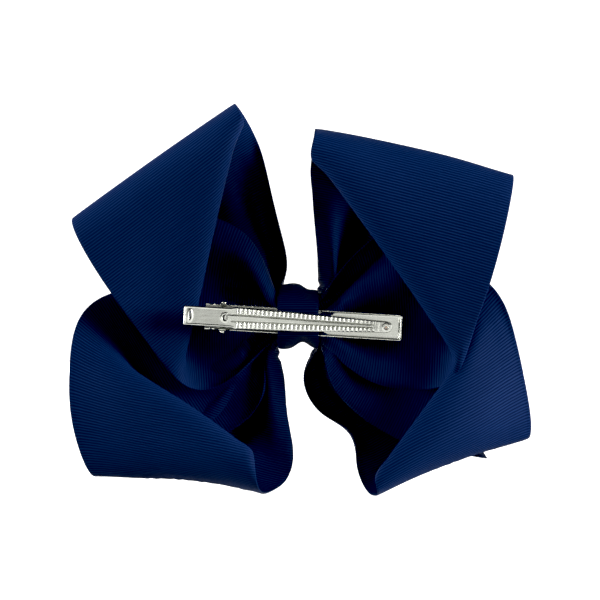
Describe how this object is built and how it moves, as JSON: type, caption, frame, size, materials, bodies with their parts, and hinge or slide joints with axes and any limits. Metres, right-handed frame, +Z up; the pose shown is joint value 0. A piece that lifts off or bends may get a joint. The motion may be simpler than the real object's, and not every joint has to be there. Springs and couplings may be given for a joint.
{
  "type": "hair bow",
  "caption": "Large four-loop grosgrain ribbon hair bow with two short tails, wrapped at the knot onto a sprung toothed alligator clip.",
  "frame": {"origin": "the grip point between the two clip jaws, over the middle of the bow", "axes": "+Z up as worn, +X to the right seen from the clip side, the clip side faces -Y and the show side faces +Y"},
  "size_m": [0.17, 0.0476, 0.1457],
  "materials": {
    "navy_grosgrain": "matt ribbed polyester grosgrain",
    "navy_thread": "twisted polyester thread",
    "nickel_plate": "bright nickel plate on stamped steel",
    "spring_steel": "drawn wire"
  },
  "bodies": {
    "bow": {"upper_left_loop": "navy_grosgrain", "upper_right_loop": "navy_grosgrain", "lower_left_loop": "navy_grosgrain", "lower_right_loop": "navy_grosgrain", "left_tail": "navy_grosgrain", "right_tail": "navy_grosgrain", "centre_wrap": "navy_grosgrain", "gather_thread": "navy_thread", "clip_base_arm": "nickel_plate", "hinge_pin": "nickel_plate", "jaw_spring": "spring_steel"},
    "lever": {"clip_lever_arm": "nickel_plate"}
  },
  "joints": [
    {"name": "clip_hinge", "type": "hinge", "parent": "bow", "child": "lever", "pos_m": [-0.02775, -0.0003, 0.00178], "axis": [-0.061, 0, -0.9981], "range_deg": [0, 21], "stiffness_Nm_per_rad": 0.09, "springref_deg": -20.05}
  ]
}
